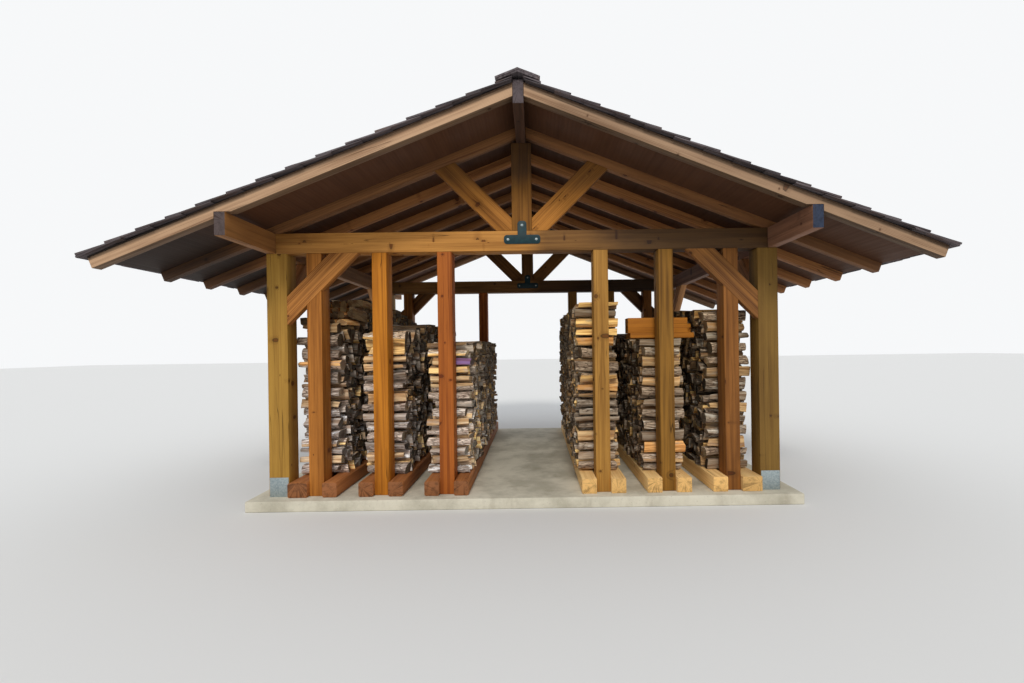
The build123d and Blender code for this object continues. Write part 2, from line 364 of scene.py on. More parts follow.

# %% [markdown]
# The timbers were stained and aged apart, and the eye tells them apart by that and by the
# shade that is painted on some of them. One function makes all their finishes, so each kind
# needs only a row: the name of its finish, its pale and deep wood, the tone of its saw cuts and
# what else sets it off, such as its painted shade.

# %% Colours of the timbers
# Painted shade: the rear truss stays in the shade of the roof.
SHADED_REAR = (1, 0.8, 1.6, 0.5)
TIMBERS = {
    # The right corner posts get painted shade, the shadow of a tree.
    "corner_post_timber": ("olive_post_pine", (178, 136, 59), (118, 80, 27), (120, 96, 66),
                           {"ring": 0.011, "figure": 0.8, "damp": ((0, 1.9, 2.3, 0.5),)}),
    # The tie beam is darker in listed places. Towards its right this is partly a stain and partly a
    # tree's painted shadow, and the rear one also gets painted shade.
    "tie_beam": ("tie_beam_pine", (206, 146, 72), (132, 84, 34), (96, 72, 52),
                 {"rarity": 0.55, "figure": 1.2, "damp": ((0, 0.0, 0.25, 0.6), (0, 0.3, 1.3, 0.6),
                                                          (0, -1.8, -2.4, 0.3), SHADED_REAR)}),
    # Struts and king posts are darker towards the top, and the rear ones get painted shade.
    "struts": ("strut_pine", (192, 128, 54), (118, 70, 21), (96, 72, 52),
               {"figure": 1.2, "damp": ((2, 2.9, 3.15, 0.5), SHADED_REAR)}),
    "king_post": ("king_post_pine", (164, 110, 42), (94, 55, 16), (96, 72, 52),
                  {"figure": 1.15, "damp": ((2, 2.95, 3.2, 0.65), SHADED_REAR)}),
    # The right knee braces get painted shade, the shadow of a tree, and the rear ones the shade of the
    # roof.
    "knee_braces": ("knee_brace_pine", (214, 144, 70), (126, 76, 34), (96, 70, 52),
                    {"figure": 1.3, "damp": ((0, 1.3, 1.9, 0.55), SHADED_REAR)}),
    "brace_timber": ("brace_pine", (204, 150, 100), (136, 92, 58), (96, 70, 52), {}),
    # The eave beams are one timber: the right one's darker colours and blue-grey cut paint the shade it
    # stands in.
    "left_beam": ("left_beam_pine", (170, 118, 66), (106, 70, 38), (90, 77, 75), {}),
    "right_beam": ("right_beam_pine", (144, 103, 78), (86, 58, 44), (48, 57, 76), {}),
    "ridge_beam": ("ridge_beam_pine", (76, 52, 38), (43, 30, 23), (84, 74, 76), {}),
    # The rafters get painted shade at both eaves and towards the front.
    "rafter_timber": ("rafter_pine", (190, 130, 76), (114, 69, 38), (86, 62, 46),
                      {"damp": ((0, -2.4, -3.0, 0.75), (0, 2.3, 2.9, 0.3), (1, -1.2, -1.6, 0.42))}),
    # The fly rafters are darker towards the right. They are bleached only where weather and light reach
    # them, which paints shade under the shakes and underneath.
    "fly_rafter_timber": ("fly_rafter_pine", (226, 186, 148), (152, 116, 86), (130, 100, 76),
                          {"figure": 1.3, "damp": ((0, -0.3, 0.5, 0.4),), "bleached_and_shaded": True}),
    "rail_timber_red": ("red_rail_pine", (188, 122, 70), (120, 70, 37), (150, 96, 58), {}),
    "rail_timber_pale": ("pale_rail_pine", (246, 210, 146), (202, 152, 90), (226, 180, 112), {}),
    "offcut_timber": ("offcut_pine", (190, 120, 34), (132, 74, 16), (170, 110, 44), {}),
    # The deck gets painted shade at the left eave.
    "dark_plywood": ("deck_plywood", (82, 53, 35), (48, 30, 20), (84, 64, 48),
                     {"ring": 0.03, "rarity": 0.92, "checks": 0.9, "figure": 0.4,
                      "damp": ((0, -2.3, -2.9, 0.8),)}),
}
timbers = {look: timber_finish(*tones, **more) for look, (*tones, more) in TIMBERS.items()}
print("timber finishes:", len(timbers))

# %% [markdown]
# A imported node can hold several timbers, such as all the rafters of one side, and each has to
# find its own grain. They could be separated into objects, but that would only add pieces to
# keep track of, so a short search along the edges lists the points that hang together.

# %% The solids of a mesh


def triangle_count(mesh):
    return sum(len(face.vertices) - 2 for face in mesh.polygons)


def islands(mesh):
    """The separate solids of a mesh, as lists of vertex numbers."""
    parent = list(range(len(mesh.vertices)))

    def root(i):
        while parent[i] != i:
            parent[i] = parent[parent[i]]
            i = parent[i]
        return i

    for edge in mesh.edges:
        a, b = root(edge.vertices[0]), root(edge.vertices[1])
        parent[a] = b
    groups = {}
    for i in range(len(parent)):
        groups.setdefault(root(i), []).append(i)
    return list(groups.values())


def middle_of(spots):
    return sum(spots, Vector()) / len(spots)


print("search for solids ready")

# %% [markdown]
# A CAD solid has perfectly sharp edges, and no sawn timber has. A Bevel modifier could ease
# them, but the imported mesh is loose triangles, and it would ease the seams between those too.
# So a copy comes first, with its triangles joined back into flat faces. The longest edge of
# each timber then tells which way the tree ran.

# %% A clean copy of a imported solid
SAME_SPOT = 2e-5


def merged_copy(node):
    """The CAD node's mesh with its triangles joined back into flat faces."""
    work = bmesh.new()
    work.from_mesh(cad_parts[node].data)
    bmesh.ops.remove_doubles(work, verts=work.verts, dist=SAME_SPOT)
    bmesh.ops.dissolve_limit(work, angle_limit=math.radians(1), verts=work.verts, edges=work.edges)
    bmesh.ops.recalc_face_normals(work, faces=work.faces)
    return work


def longest_ways(work):
    """Middle of each solid, with the direction of its longest edge."""
    mesh = bpy.data.meshes.new("plain")
    work.to_mesh(mesh)
    spots = [v.co.copy() for v in mesh.vertices]
    found = []
    for members in islands(mesh):
        inside = set(members)
        pairs = [[spots[i] for i in e.vertices] for e in mesh.edges if e.vertices[0] in inside]
        a, b = max(pairs, key=lambda pair: (pair[0] - pair[1]).length)
        found.append((middle_of([spots[i] for i in members]), (a - b).normalized()))
    bpy.data.meshes.remove(mesh)
    return found


print("clean copies ready")

# %% [markdown]
# Plain coordinates would give a brace at an angle the grain of a level beam, so the grain is
# written on the points of each timber as an attribute. Every timber gets its own place in its
# own tree by chance, which is seeded, so that every run gives the same timbers.

# %% Grain on a mesh
TREE_LENGTH = 40
END_FACING = 0.75
UP = Vector((0, 0, 1))
ACROSS = Vector((1, 0, 0))
chance = random.Random(11)


def add_fields(mesh, **fields):
    """New attributes of a mesh, by name. A field's kind is a vector, a colour or a number."""
    kinds = {"vector": "FLOAT_VECTOR", "color": "FLOAT_COLOR", "value": "FLOAT"}
    for name, kind in fields.items():
        domain = "FACE" if name == "end_face" else "POINT"
        mesh.attributes.new(name, kinds[kind], domain)
    return [mesh.attributes[name] for name in fields]


def lay_grain(mesh, ways, heart_out):
    """Writes grain, tone and end_face on every solid of a mesh. The heart of the tree lies
    heart_out times a timber's half thickness away from its middle."""
    grain, tone, end = add_fields(mesh, grain="vector", tone="value", end_face="value")
    way_of = {}
    for members in islands(mesh):
        spots = [mesh.vertices[i].co for i in members]
        middle = middle_of(spots)
        way = min(ways, key=lambda item: (item[0] - middle).length)[1]
        side = way.cross(UP if abs(way.z) < 0.9 else ACROSS).normalized()
        up = way.cross(side)
        half = max(abs((p - middle).dot(side)) for p in spots)
        angle = chance.uniform(0, 2 * math.pi)
        shift = heart_out * half * chance.uniform(0.6, 1.2)
        off = Vector((chance.uniform(0, TREE_LENGTH), shift * math.cos(angle), shift * math.sin(angle)))
        shade = chance.random()
        for i in members:
            away = mesh.vertices[i].co - middle
            grain.data[i].vector = Vector((away.dot(way), away.dot(side), away.dot(up))) + off
            tone.data[i].value = shade
            way_of[i] = way
    for face in mesh.polygons:
        way = way_of[face.vertices[0]]
        end.data[face.index].value = float(abs(face.normal.dot(way)) > END_FACING)


print("grain ready")

# %% [markdown]
# Sawn timber is never quite straight. A long piece is cut across at every half metre and
# wanders by a millimetre, and only then are its edges eased by a narrow bevel, which catches
# the light as a worn edge does. Blender's noise starts from the clock unless it gets a seed.

# %% Crooked timbers with eased edges
WANDER = 0.0012
WANDER_WAVES = 1.7
EASE = 0.005
STEP = 0.5
SHARP = math.radians(40)
CREASE = math.radians(35)
noise.seed_set(11)


def wander(work, size):
    """Cuts long pieces across at every step of their length and lets them wander a little."""
    low = Vector([min(v.co[i] for v in work.verts) for i in range(3)])
    high = Vector([max(v.co[i] for v in work.verts) for i in range(3)])
    for axis in range(3):
        normal = Vector([float(i == axis) for i in range(3)])
        cuts = int((high[axis] - low[axis]) / STEP)
        for number in range(1, cuts + 1):
            at = low + (high - low) * number / (cuts + 1)
            every = work.verts[:] + work.edges[:] + work.faces[:]
            bmesh.ops.bisect_plane(work, geom=every, plane_co=at, plane_no=normal)
    for v in work.verts:
        v.co += noise.noise_vector(v.co * WANDER_WAVES) * size


def eased_copy(node, ease, loose=0, heart_out=1):
    """A copy of a CAD node that wanders by loose, with its sharp edges eased and its grain laid."""
    work = merged_copy(node)
    ways = longest_ways(work)
    if loose:
        wander(work, loose)
    sharp = [e for e in work.edges if e.calc_face_angle(0) > SHARP]
    bmesh.ops.bevel(work, geom=sharp, offset=ease, segments=2, profile=0.6, affect="EDGES")
    mesh = bpy.data.meshes.new(node)
    work.to_mesh(mesh)
    work.free()
    lay_grain(mesh, ways, heart_out)
    mesh.shade_smooth()
    mesh.set_sharp_from_angle(angle=CREASE)
    return mesh


print("eased copies ready")

# %% [markdown]
# Every piece of the scene takes the place of a imported node, or is added to the body that
# carries it, and rides on that body.

# %% Helpers that dress a node


def dress(name, mesh, finish, slot, *nodes):
    """Makes an object of a mesh, and lets it stand for CAD nodes."""
    made = bpy.data.objects.new(name, mesh)
    bpy.context.scene.collection.objects.link(made)
    mesh.materials.clear()
    mesh.materials.append(finish)
    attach(made, "root")
    if nodes:
        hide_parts(*nodes)
    return made


def timber(node, slot, look=None, ease=EASE, heart_out=0.8):
    """Dresses one node. Look names its colours where they are not those of its slot."""
    mesh = eased_copy(node, ease, WANDER, heart_out)
    return dress(f"sawn_{node}", mesh, timbers[look or slot], slot, node)


print("dressing ready")

# %% [markdown]
# Now the timbers get their finishes, each from the row of its kind. A rafter is sawn from the
# side of its tree, so the heart lies outside it and its rings show as nearly straight lines.
# Plywood is peeled from a log, which opens the rings into a wide figure. Its edges are crisper.

# %% Dressed timbers
for end in ("front", "rear"):
    for side in ("left", "right"):
        timber(f"corner_post_{end}_{side}", "corner_post_timber")
for end in ("front", "rear"):
    timber(f"tie_beam_{end}", "truss_timber", "tie_beam")
    timber(f"king_post_{end}", "truss_timber", "king_post")
    timber(f"struts_{end}", "truss_timber", "struts")
    timber(f"knee_braces_{end}", "brace_timber", "knee_braces")
    timber(f"fly_rafters_{end}", "fly_rafter_timber", heart_out=2.0)
for side, rail in (("left", "rail_timber_red"), ("right", "rail_timber_pale")):
    timber(f"side_braces_{side}", "brace_timber")
    timber(f"eave_beam_{side}", "beam_timber", f"{side}_beam")
    timber(f"rafters_{side}", "rafter_timber", heart_out=2.0)
    timber(f"rack_rails_{side}", rail, ease=0.006)
    timber(f"deck_{side}", "dark_plywood", ease=0.002, heart_out=6.0)
timber("ridge_beam", "beam_timber", "ridge_beam")
timber("squared_offcuts", "offcut_timber")
timber("loose_boards", "offcut_timber", ease=0.003)

# %% [markdown]
# The rack posts came out of different packs: amber, orange, red and golden brown. The same
# pine with another pair of colours is all that each needs.

# %% Rack posts
POST_TONES = (
    ((178, 114, 46), (114, 66, 22)), ((200, 126, 32), (142, 82, 16)), ((190, 108, 40), (130, 64, 20)),
    ((172, 126, 58), (112, 75, 28)), ((164, 116, 44), (102, 68, 22)), ((146, 94, 42), (90, 53, 20)),
)
for number, (pale, deep) in enumerate(POST_TONES, 1):
    timbers["rack_post_timber"] = timber_finish(
        f"rack_post_pine_{number}", pale, deep, deep, ring=0.010, rarity=0.66, figure=1.2)
    timber(f"rack_posts_{number}", "rack_post_timber", ease=0.006)
print("rack posts:", len(POST_TONES))

# %% [markdown]
# Firewood is what this store is for, and it is what the eye lands on. A log is split by hand:
# straight torn faces on some sides, a strip of bark on the others, and two saw cuts. One
# finish covers all three and reads from the mesh which of them it is on, so that bark can end
# in a ragged line in the middle of a face.

# %% Firewood finish
BARK_LOW = colour(138, 120, 108)
BARK_HIGH = colour(222, 208, 194)
LICHEN = colour(238, 232, 224)
SOOT = colour(52, 38, 30)
LOG_RING = 0.007


def firewood_finish():
    """One finish for torn faces, saw cuts and bark. Each log brings its own tint, tone and cast."""
    net = Finish("split_logs", Specular_IOR_Level=0.15)
    grain = net.read("grain", "Vector")
    tint = net.read("tint", "Color")
    tone = net.read("tone")
    end = net.read("end_face")
    _, around, out = tree_place(net, grain)
    skin = net.read("bark") + net.noise(grain, (30, 30, 30)) * 0.5 - 0.25
    skin = net.ease(skin, 0.42, 0.58)
    fibre = net.noise(grain, (6, 110, 110), 4.0, 0.65)
    torn = net.noise(grain, (2.5, 34, 34), 3.0, 0.6)
    cloud = net.noise(grain, (6, 12, 12), 3.0, 0.6)
    face = net.blend(net.ease(torn, 0.36, 0.64), tint, net.tinted(tint, colour(190, 168, 150)))
    face = net.blend(net.ease(fibre, 0.46, 0.72, 0.0, 0.5), face, SOOT)
    face = net.blend(net.ease(cloud, 0.5, 0.72, 0.0, 0.55), face, colour(152, 142, 136))
    out = cloud * 0.02 + out
    rings = net.sum("SINE", out * (2 * math.pi / LOG_RING))
    spoke = net.lines(net.noise(net.vector(around * 3.0, tone), 1.0, 1.0), 0.0, 0.05)
    cut = net.blend(0.4, tint, colour(226, 208, 174))
    cut = net.blend(net.ease(out, 0.03, 0.075, 0.65, 0.0), cut, colour(146, 98, 62))
    cut = net.blend(net.ease(tone, 0.35, 0.9, 0.0, 0.7), cut, colour(140, 128, 118))
    # Saw cuts are darker by a share of each log's own. This is partly their own tone and partly painted
    # shade, the dark that lies on the ends in the aisles and between the stacks.
    cut = net.tinted(cut, net.sum("FRACT", tone * 7.3) * 0.6 + 0.1)
    cut = net.blend(rings * 0.09 + 0.1, cut, SOOT)
    cut = net.blend(spoke * 0.5, cut, SOOT)
    furrow = net.noise(grain, (11, 64, 64), 4.0, 0.6)
    plate = net.cells(net.scaled(grain, 12, 56, 56), 1.0, "DISTANCE_TO_EDGE")["Distance"]
    bark = net.blend(net.ease(furrow, 0.36, 0.62), BARK_LOW, BARK_HIGH)
    bark = net.blend(net.ease(plate, 0.0, 0.14, 0.7, 0.0), bark, SOOT)
    bark = net.blend(0.35, bark, net.tinted(bark, tint))
    spots = net.ease(net.noise(grain, (7, 36, 36), 4.0, 0.55), 0.5, 0.66)
    bark = net.blend(spots * net.ease(tone, 0.35, 0.8), bark, LICHEN)
    base = net.blend(end, face, cut)
    base = net.blend(skin, base, net.blend(end * 0.8, bark, SOOT))
    base = net.tinted(base, net.read("cast", "Color"))
    relief = torn + fibre * 0.5
    height = relief.toward(furrow * 2.0 + net.ease(plate, 0.0, 0.25), skin)
    return net.surface(base, skin * 0.08 + 0.85, height, 0.003)


split_logs = firewood_finish()
print("firewood finish ready")

# %% [markdown]
# The columns at the front of each stack are seen log by log on both sides of the posts, so
# they are written down from the top: a letter for the look of each log and a number for its
# share of the height. P is pale and fresh, F fresh orange, T tan, G weathered grey, B bark to
# the front, V a board end with old violet paint. Everything behind them comes by chance, with
# O for the rounds that were never split. The tops follow the height of each stack from front
# to rear. The casts are how much light, and of what colour, the logs of each stack get.

# %% What the stacks are made of
LOOKS = {
    "P": (255, 218, 150), "F": (238, 190, 128), "T": (222, 190, 146),
    "G": (192, 180, 166), "B": (196, 168, 136), "V": (150, 118, 176), "O": (206, 180, 144),
}
FRONT_LOGS = (
    "T55 B75 B80 F50 B85 B80 T40 B55 G70 B50 T55 G25 T55 B60",
    "P85 P50 T45 T50 G54 B65 T58 B49 G65 B40 B77 G43 T76 B60",
    "T20 P65 V50 P55 T30 T60 B45 G45 B50 T60 B50 B65 G40 T50 B55",
    "P30 G65 P60 P50 F45 B90 B90 P48 F62 T20 B80 G40 G30 B60 T55 B60 G60 B65",
    "G45 B45 T48 B60 T38 B60 G50 B62 B45 G50 F80 T32 B40",
    "B60 T50 G45 B70 B60 T45 B75 G50 T60 B50 B65 T50 B60 G55",
)
STACK_TOPS = (
    (1.640, 1.960, 2.000, 1.960, 1.880, 1.870), (1.560, 1.690, 1.715, 1.740),
    (1.450, 1.480, 1.490, 1.470), (1.840, 1.815, 1.830, 1.865),
    (1.470, 1.470, 1.560, 1.610), (1.740, 1.820, 1.820, 1.790),
)
ROOF_CAST = Vector((1.0, 0.93, 0.74))
GROUND_CASTS = ((1.5, 1.62, 1.82), (1.45, 1.55, 1.7), (1.6, 1.72, 1.85),
                (1.14, 1.1, 1.0), (1.12, 1.06, 0.94), (1.0, 0.96, 0.86))
SLAB_TOP = 0.1
ROUND_SIZE = 0.132
print("front logs:", [len(row.split()) for row in FRONT_LOGS])

# %% [markdown]
# Logs could be dropped in a heap and left to settle, but a heap is loose, and these were laid
# by hand until each filled the room that its neighbours leave. So the side of a stack is a set
# of cells, each made of the points that lie nearest to one log's middle. All that takes is one
# cut along a line, used again and again.

# %% Cutting an outline


def pointing(turn):
    """The flat direction at an angle."""
    return Vector((math.cos(turn), math.sin(turn)))


def clipped(shape, spot, way):
    """The part of a convex outline behind the line through spot that faces along way."""
    kept = []
    for a, b in zip(shape, shape[1:] + shape[:1]):
        near, far = (a - spot).dot(way), (b - spot).dot(way)
        if near <= 0:
            kept.append(a)
        if (near < 0) != (far < 0) and near != far:
            kept.append(a + (b - a) * (near / (near - far)))
    return kept


def trimmed(shape, spot, way):
    """The clipped outline, or the whole one where the line would leave nothing of it."""
    kept = clipped(shape, spot, way)
    return kept if len(kept) >= 3 else shape


def centre_of(shape):
    return sum(shape, Vector((0, 0))) / len(shape)


def area_of(shape):
    return abs(sum(a.cross(b) for a, b in zip(shape, shape[1:] + shape[:1]))) / 2


print("cutting ready")

# %% [markdown]
# The middles of the logs come first: a column at the front and one at the rear, where every
# log is seen, and uneven rows between them, up to the top of the stack.

# %% Where the logs lie
COLUMN = 0.055
LOGS_IN_COLUMN = 15


def crest_height(tops, y, front, rear):
    """Height of the top of a stack at y, above the ground."""
    share = (y - front) / (rear - front) * (len(tops) - 1)
    share = min(max(share, 0), len(tops) - 1.001)
    i = int(share)
    return SLAB_TOP + tops[i] + (tops[i + 1] - tops[i]) * (share - i)


def log_middles(front, rear, low, tops, front_row, dice):
    """Middles of the logs, with their looks: a column at each end and rows between them."""
    spots = []
    for y, row in ((front + COLUMN, front_row), (rear - COLUMN, None)):
        high = crest_height(tops, y, front, rear)
        if row is None:
            row = [f"{dice.choice('TGBB')}{dice.randint(45, 85)}" for _ in range(LOGS_IN_COLUMN)]
            row = " ".join(row)
        parts = [(item[0], int(item[1:])) for item in row.split()]
        unit = (high - low) / sum(size for _, size in parts)
        for look, size in parts:
            spots.append((Vector((y + dice.uniform(-0.006, 0.006), high - size * unit / 2)), look))
            high -= size * unit
    z = low + ROUND_SIZE / 2
    while z < SLAB_TOP + max(tops):
        y = front + 2 * COLUMN + ROUND_SIZE * dice.uniform(0.3, 0.6)
        while y < rear - 2 * COLUMN - ROUND_SIZE * 0.3:
            middle = Vector((y, z + dice.uniform(-0.035, 0.035)))
            if middle.y < crest_height(tops, y, front, rear) - ROUND_SIZE * 0.3:
                spots.append((middle, "-"))
            y += ROUND_SIZE * dice.uniform(0.75, 1.45)
        z += ROUND_SIZE * dice.uniform(0.82, 0.98)
    return spots


print("places of logs ready")

# %% [markdown]
# A cell starts as the whole side of the stack and is clipped by the line midway to every
# neighbour. The lines are set back a little, which opens the dark gap between two logs. Most
# cells are then split with an axe, once or more, so that wedges lie among the rounds.

# %% Cells of a stack
NEIGHBOUR = 0.34
SMALLEST_LOG = 0.0022
AXE_ODDS = (0.85, 0.6, 0.25)


def axed(shape, dice):
    """The pieces of a round that an axe split once, twice or not at all, never quite in the middle."""
    pieces = [shape]
    for odds in AXE_ODDS:
        whole = max(pieces, key=area_of)
        way = pointing(dice.uniform(0, math.pi))
        spot = centre_of(whole) + way * dice.uniform(-0.015, 0.015)
        gap = way * dice.uniform(0.002, 0.007)
        halves = [clipped(whole, spot - gap, way), clipped(whole, spot + gap, -way)]
        if dice.random() < odds and min(area_of(half) for half in halves) > SMALLEST_LOG:
            pieces.remove(whole)
            pieces += halves
    return pieces


def log_cells(spots, front, rear, low, tops, dice):
    """Middle, look and outline of every log of a stack."""
    cells = []
    for middle, look in spots:
        high = crest_height(tops, middle.x, front, rear)
        slope = Vector((0.02, crest_height(tops, middle.x + 0.02, front, rear) - high))
        corners = ((front, low), (rear, low), (rear, high + 1), (front, high + 1))
        crest = Vector((middle.x, high - dice.uniform(0, 0.012)))
        shape = clipped([Vector(corner) for corner in corners], crest, Vector((-slope.y, slope.x)))
        gap = dice.uniform(0.003, 0.011)
        for other, _ in spots:
            away = other - middle
            if 0 < away.length < NEIGHBOUR:
                way = away.normalized()
                shape = clipped(shape, middle + away / 2 - way * gap, way)
        if len(shape) < 3:
            continue
        pieces = axed(shape, dice) if look == "-" else [shape]
        for piece in pieces:
            kind = look if look != "-" else "O" if len(pieces) == 1 else dice.choice("TTGGGBBP")
            cells.append((middle if len(pieces) == 1 else centre_of(piece), kind, piece))
    return cells


print("cells ready")

# %% [markdown]
# A cell becomes the cross-section of one log. On a bark side it is trimmed round, and where it
# shows at the front or the rear it gets the ridge or the slant that an axe leaves. Both take
# only more cuts along lines, so a section can never grow into its neighbours.

# %% The sides of a log


def fronted(shape, middle, look, outer, dice):
    """Shapes the side of a log that shows: round under bark, and a ridge or a slant where an
    axe split it. Outer is -1 towards the front and 1 towards the rear."""
    half = max(abs(p.y - middle.y) for p in shape)
    face = max(p.x * outer for p in shape) - dice.uniform(0, 0.03)
    if look == "B":
        radius = half * dice.uniform(0.95, 1.3)
        hub = Vector(((face - radius) * outer, middle.y + dice.uniform(-0.15, 0.15) * half))
        lines = [(hub, step + dice.uniform(-8, 8), radius) for step in range(-75, 90, 25)]
    elif dice.random() < 0.55:
        ridge = Vector((face * outer, middle.y + dice.uniform(-0.6, 0.6) * half))
        lines = [(ridge, side * dice.uniform(12, 48), 0) for side in (-1, 1)]
    else:
        lean = dice.uniform(-38, 38)
        lines = [(Vector((face * outer, middle.y - math.copysign(half * 0.8, lean))), lean, 0)]
    for spot, turn, reach in lines:
        way = pointing(math.radians(turn))
        way.x *= outer
        shape = trimmed(shape, spot + way * reach, way)
    return shape


def rounded(shape, middle, facing, half_way):
    """Shapes the bark side of a log from a fan of lines that face between facing +- half_way."""
    toward = pointing(facing)
    reach = max((p - middle).dot(toward) for p in shape) * 0.96
    steps = max(round(half_way / 0.45), 1)
    for step in range(-steps, steps + 1):
        way = pointing(facing + half_way * step / steps)
        shape = trimmed(shape, middle + way * reach, way)
    return shape


print("sides ready")

# %% [markdown]
# A wide corner of the outline is part of a round, and is kept. A sharp one is cut off: a good
# bit where it is bark, and only a splinter where the wood was split. Each point also learns
# whether it lies on bark, from the way it faces.

# %% The section of a log
CORNER = math.radians(34)


def log_section(middle, shape, facing, width, dice, keep_clean=None):
    """Points round a log with 1 where bark is: as far as width either side of facing. A side that
    faces keep_clean, -1 or 1, has none."""
    points = []
    for before, p, after in zip(shape[-1:] + shape[:-1], shape, shape[1:] + shape[:1]):
        away = p - middle
        turn = (math.atan2(away.y, away.x) - facing + math.pi) % (2 * math.pi) - math.pi
        clean = keep_clean and away.x * keep_clean > 0.6 * abs(away.y)
        bark = 1.0 if abs(turn) < width and not clean else 0.0
        if (p - before).angle(after - p) < CORNER:
            points.append((p, bark))
            continue
        trim = 0.25 if bark else dice.uniform(0.04, 0.12)
        points += [(p.lerp(before, trim), bark), (p.lerp(after, trim), bark)]
    return points


def log_shape(middle, look, shape, dice, outer):
    """Section of one log, and the way that its bark faces."""
    if outer:
        shape = fronted(shape, middle, look, outer, dice)
        if look == "B":
            facing = math.atan2(0, outer)
            return log_section(middle, shape, facing, 1.5, dice), facing
        facing = dice.uniform(0, 2 * math.pi)
        width = dice.choice((-1, 0.8)) if look != "G" else 0.9
        return log_section(middle, shape, facing, width, dice, outer), facing
    facing = dice.uniform(0, 2 * math.pi)
    width = dice.choice((-1, 0.7, 1.0, 1.3, 1.6)) if look != "O" else math.pi
    if width > 0:
        shape = rounded(shape, middle, facing, width)
    return log_section(middle, shape, facing, width, dice), facing


print("sections ready")

# %% [markdown]
# Then the section is drawn out from saw cut to saw cut, with its bark as a thin rim on the
# ends. Hundreds of logs could not all be sculpted, so each has only a few dozen faces, and its
# torn wood comes from the finish.

# %% A log drawn out


def add_log(store, section, ends, spread, facing, middle, stations, dice, crosswise=False):
    """Adds one log to the lists of a stack. It thins towards one end, and sits high or low there."""
    count = len(section)
    start = len(store["at"])
    low, high = ends
    half = max(abs(p.y - middle.y) for p, _ in section)
    heart = middle - pointing(facing) * dice.uniform(0.02, 0.07)
    along = dice.uniform(0, TREE_LENGTH)
    slants = (dice.uniform(-0.3, 0.3), dice.uniform(-0.3, 0.3))
    thin = dice.uniform(0.0, 0.6 if stations > 2 else 0.25)
    from_left = dice.random() < 0.5
    drop = dice.uniform(-0.95, 0.95)

    def add_ring(share, scale=1.0, rim=False):
        there = share if from_left else 1 - share
        size = 1 - thin * there
        x = low + (high - low) * share
        centre = middle + Vector((0, drop * half * thin * there))
        slant = slants[0] * (1 - share) + slants[1] * share
        for p, bark in section:
            inset = (0.86 if bark else 0.97) if rim else 1.0
            spot = centre + (p - middle) * size * inset * scale
            lengthwise = x + slant * (p.x - middle.x + 0.6 * (p.y - middle.y))
            at = (spot.x, lengthwise) if crosswise else (lengthwise, spot.x)
            store["at"].append((*at, spot.y))
            store["bark"].append(0.0 if rim else bark)
            store["grain"].append((x + along, p.x - heart.x, p.y - heart.y))
            for key, value in spread.items():
                store[key].append(value)

    def add_face(corners, end_face, turned):
        store["faces"].append(corners[::-1] if turned else corners)
        store["end_face"].append(end_face)

    for i in range(stations + 1):
        add_ring(i / stations, dice.uniform(0.94, 1.0))
    for i in range(stations):
        for k in range(count):
            a = start + i * count + k
            b = start + i * count + (k + 1) % count
            add_face((a, a + count, b + count, b), 0.0, crosswise)
    for base, share in ((start, 0), (start + stations * count, 1)):
        rim = len(store["at"])
        turned = crosswise != bool(share)
        add_ring(share, rim=True)
        for k in range(count):
            after = (k + 1) % count
            add_face((base + k, base + after, rim + after, rim + k), 1.0, turned)
        add_face(tuple(range(rim, rim + count)), 1.0, turned)


print("log maker ready")

# %% [markdown]
# Fresh splits are pale and old ones grey, and the look of each log says which it is. What
# light reaches it is part of its colour too: blue from the open sky near the ground, and warm
# from the timbers under the roof. Lamps could do that, but they would colour the posts as well.

# %% Tint of a log and the light on it


def tint_of(look, strength):
    """The colour of a log's own wood."""
    return deeper(colour(*LOOKS[look]), strength, strength, strength)


def cast_of(number, look, z, dice):
    """Colour of the light on one log: more of the sky near the ground, less under the roof, and
    fresh splits are never dull."""
    near_ground = min(1.25 * (1 - (z - SLAB_TOP) / 2), 1)
    light = ROOF_CAST.lerp(Vector(GROUND_CASTS[number - 1]), near_ground)
    return (*(light * dice.uniform(1.25 if look in "PF" else 0.65, 1.2)), 1.0)


print("tints ready")

# %% [markdown]
# The first stack has short ends on its front, laid crosswise in steps. They are cells and logs
# like all the others, only turned.

# %% Short ends on the first stack
JUMBLE_LOW = SLAB_TOP + 1.64
JUMBLE_HIGH = SLAB_TOP + 1.95
JUMBLE_DEPTH = 0.72
JUMBLE_LOG = 0.42
JUMBLE_ROW = 0.074


def add_jumble(store, front, low_corner, high_corner, dice):
    """Short ends laid crosswise on the front of the first stack, in steps up to its full height."""
    spots = []
    z = JUMBLE_LOW + 0.04
    while z < JUMBLE_HIGH - 0.02:
        x = low_corner.x + dice.uniform(0.03, 0.07)
        while x < high_corner.x - 0.03:
            spots.append((Vector((x, z + dice.uniform(-0.012, 0.012))), dice.choice("PFFT")))
            x += dice.uniform(0.055, 0.105)
        z += JUMBLE_ROW
    flat = (JUMBLE_HIGH - SLAB_TOP, JUMBLE_HIGH - SLAB_TOP)
    ends = (low_corner.x, high_corner.x)
    for middle, look, shape in log_cells(spots, *ends, JUMBLE_LOW, flat, dice):
        section, facing = log_shape(middle, look, shape, dice, None)
        rise = (middle.y + 0.03 - JUMBLE_LOW) / (JUMBLE_HIGH - JUMBLE_LOW)
        start = front + max(0.02, rise * JUMBLE_DEPTH - 0.1) + dice.uniform(0, 0.07)
        spread = {"tint": tint_of(look, dice.uniform(0.9, 1.2)),
                  "cast": cast_of(1, look, middle.y, dice), "tone": dice.uniform(0, 0.25)}
        add_log(store, section, (start, start + JUMBLE_LOG), spread, facing, middle, 2, dice, True)


print("short ends ready")

# %% [markdown]
# Real logs are crooked. Bending every log by itself would push them through each other, so
# the whole stack is bent by one smooth field: neighbours bend together and stay clear. The
# field is slower along the logs than across them, and every stack lies in another part of it.

